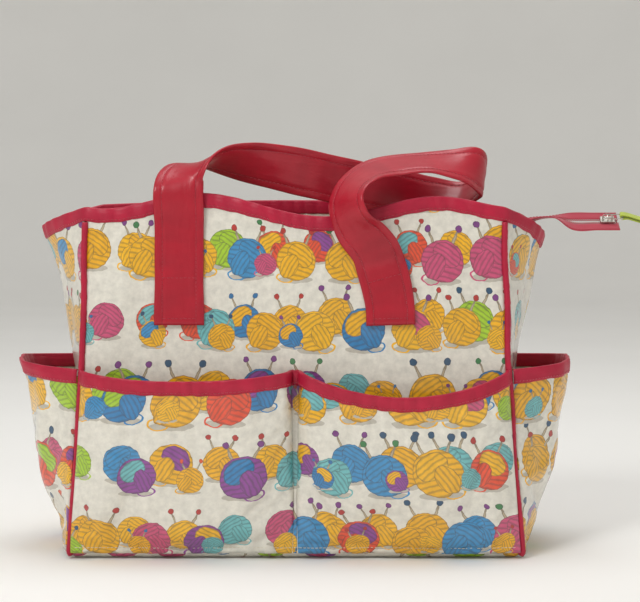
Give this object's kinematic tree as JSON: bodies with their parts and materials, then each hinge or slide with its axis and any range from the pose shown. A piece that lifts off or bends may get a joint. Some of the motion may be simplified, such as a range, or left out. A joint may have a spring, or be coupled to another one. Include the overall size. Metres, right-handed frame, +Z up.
{
  "type": "knitting bag",
  "caption": "Open-topped tote bag of printed coated cotton with outside pockets all round, bound red rims, corner piping, two flat carrying handles and a zip whose tail hangs over one end.",
  "frame": {"origin": "middle of the base's underside, where the bag stands", "axes": "+X to the end where the zip's tail hangs out, +Y to the back, +Z up"},
  "size_m": [0.5874, 0.2331, 0.3715],
  "materials": {
    "print_cloth": "cream-white coated cotton, soft gloss, printed",
    "lining_cloth": "plain cream cotton, matte",
    "red_cloth": "crimson coated cotton tape, soft gloss",
    "strap_leather": "crimson leathercloth, satin",
    "stiffener": "dark board",
    "zip_nylon": "red nylon coil",
    "nickel": "nickel-plated, polished",
    "lime_ribbon": "lime green woven ribbon"
  },
  "bodies": {
    "bag": {"back_panel": "print_cloth", "base_board": "stiffener", "base_panel": "print_cloth", "front_panel": "print_cloth", "gusset_left": "print_cloth", "gusset_right": "print_cloth", "handle_back_left_end": "strap_leather", "handle_back_right_end": "strap_leather", "handle_front_left_end": "strap_leather", "handle_front_right_end": "strap_leather", "lining_back": "lining_cloth", "lining_base": "lining_cloth", "lining_front": "lining_cloth", "lining_left": "lining_cloth", "lining_right": "lining_cloth", "piping_back_left": "red_cloth", "piping_back_right": "red_cloth", "piping_front_left": "red_cloth", "piping_front_right": "red_cloth", "pocket_back": "print_cloth", "pocket_binding_back": "red_cloth", "pocket_binding_front": "red_cloth", "pocket_binding_left": "red_cloth", "pocket_binding_right": "red_cloth", "pocket_front": "print_cloth", "pocket_left": "print_cloth", "pocket_right": "print_cloth", "rim_binding": "red_cloth", "zip_coil_back": "zip_nylon", "zip_coil_front": "zip_nylon", "zip_facing_back": "print_cloth", "zip_facing_front": "print_cloth", "zip_stop": "nickel", "zip_tape_back": "red_cloth", "zip_tape_front": "red_cloth"},
    "front_handle": {"handle_front": "strap_leather"},
    "back_handle": {"handle_back": "strap_leather"},
    "zip_slider": {"slider_body": "nickel", "slider_bridge": "nickel"},
    "zip_puller": {"puller_link": "nickel", "puller_ribbon": "lime_ribbon"}
  },
  "joints": [
    {"name": "front_handle_swing", "type": "hinge", "parent": "bag", "child": "front_handle", "pos_m": [0, -0.0775, 0.253], "axis": [1, 0, 0], "range_deg": [0, 150]},
    {"name": "back_handle_swing", "type": "hinge", "parent": "bag", "child": "back_handle", "pos_m": [0, 0.076, 0.302], "axis": [1, 0, 0], "range_deg": [0, 165]},
    {"name": "zip_slide", "type": "slide", "parent": "bag", "child": "zip_slider", "axis": [-1, 0, 0], "range_m": [0, 0.018]},
    {"name": "puller_swing", "type": "hinge", "parent": "zip_slider", "child": "zip_puller", "pos_m": [0.288, -0.00255, 0.30342], "axis": [0, 0.866, 0.5], "range_deg": [-150, 0]}
  ]
}
